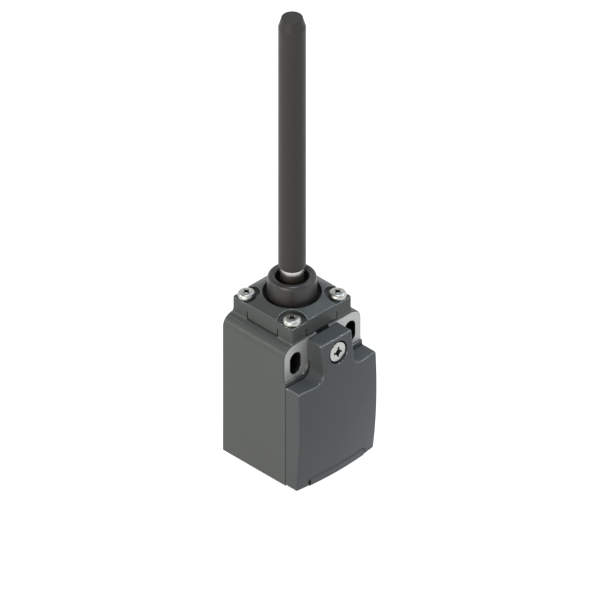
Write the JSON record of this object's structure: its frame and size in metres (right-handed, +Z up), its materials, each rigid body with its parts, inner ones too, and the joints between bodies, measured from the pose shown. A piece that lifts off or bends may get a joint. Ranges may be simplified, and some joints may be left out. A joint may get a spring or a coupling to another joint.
{
  "type": "rod lever limit switch",
  "caption": "Die-cast limit switch with a long all-direction actuating rod, a rubber boot, a hinged front cover and a slow-action contact block.",
  "frame": {"origin": "centre of the conduit entry's mouth in the bottom face, on the rod's axis", "axes": "+Z up along the rod, +X across the front, -Y out of the front cover, +Y to the mounting back"},
  "size_m": [0.0312, 0.0325, 0.1494],
  "materials": {
    "cast_grey": "satin",
    "cover_grey": "satin",
    "screw_steel": "satin",
    "rubber_black": "matte",
    "rod_plastic": "satin",
    "rocker_steel": "satin",
    "ring_steel": "satin",
    "white_plastic": "matte",
    "block_plastic": "matte",
    "carriage_plastic": "matte",
    "spring_steel": "satin",
    "contact_brass": "satin"
  },
  "bodies": {
    "case": {"housing": "cast_grey", "head": "cast_grey", "head_screws": "screw_steel", "head_seal": "rubber_black", "head_spring": "spring_steel", "stem_seal": "rubber_black", "cover_gasket": "rubber_black", "hinge_pin": "screw_steel", "contact_block": "block_plastic", "contact_block_plate": "block_plastic", "block_screws": "screw_steel", "fixed_contacts": "contact_brass", "terminal_clamps": "screw_steel", "terminal_screws": "screw_steel", "carriage_spring": "spring_steel", "earth_clamp": "contact_brass", "earth_screw": "screw_steel"},
    "swivel": {"bearing_ring": "white_plastic", "boot": "rubber_black"},
    "stick": {"rocker": "rocker_steel", "rod_core": "spring_steel", "rod_ring": "ring_steel", "rod": "rod_plastic"},
    "plunger": {"plunger": "white_plastic"},
    "carriage": {"contact_carriage": "carriage_plastic", "bridge_contacts": "contact_brass", "contact_springs": "spring_steel"},
    "cover": {"cover": "cover_grey"},
    "screw_seal": {"cover_screw_seal": "rubber_black"},
    "cover_screw": {"cover_screw": "screw_steel"}
  },
  "joints": [
    {"name": "rod_direction", "type": "hinge", "parent": "case", "child": "swivel", "pos_m": [0, 0, 0.046], "axis": [0, 0, 1], "continuous": true},
    {"name": "rod_tilt", "type": "hinge", "parent": "swivel", "child": "stick", "pos_m": [0, 0, 0.046], "axis": [0, 1, 0], "range_deg": [0, 18], "stiffness_Nm_per_rad": 0.4, "springref_deg": -5.73, "deforming": ["boot"]},
    {"name": "plunger_travel", "type": "slide", "parent": "case", "child": "plunger", "axis": [0, 0, -1], "range_m": [0, 0.00195], "deforming": ["head_spring"]},
    {"name": "carriage_travel", "type": "slide", "parent": "case", "child": "carriage", "axis": [0, 0, -1], "range_m": [0, 0.00195], "deforming": ["carriage_spring"]},
    {"name": "cover_hinge", "type": "hinge", "parent": "case", "child": "cover", "pos_m": [0, -0.0153, 0.0014], "axis": [1, 0, 0], "range_deg": [0, 95]},
    {"name": "cover_screw_travel", "type": "slide", "parent": "cover", "child": "screw_seal", "axis": [0, -1, 0], "range_m": [0, 0.0028]},
    {"name": "cover_screw_turn", "type": "hinge", "parent": "screw_seal", "child": "cover_screw", "pos_m": [0, -0.018, 0.0417], "axis": [0, -1, 0], "range_deg": [0, 1440]}
  ],
  "couplings": [
    {"joint": "plunger_travel", "follows": "rod_tilt", "m_per_rad": 0.0062055},
    {"joint": "carriage_travel", "follows": "rod_tilt", "m_per_rad": 0.0062055},
    {"joint": "cover_screw_turn", "follows": "cover_screw_travel", "rad_per_m": 8976}
  ]
}
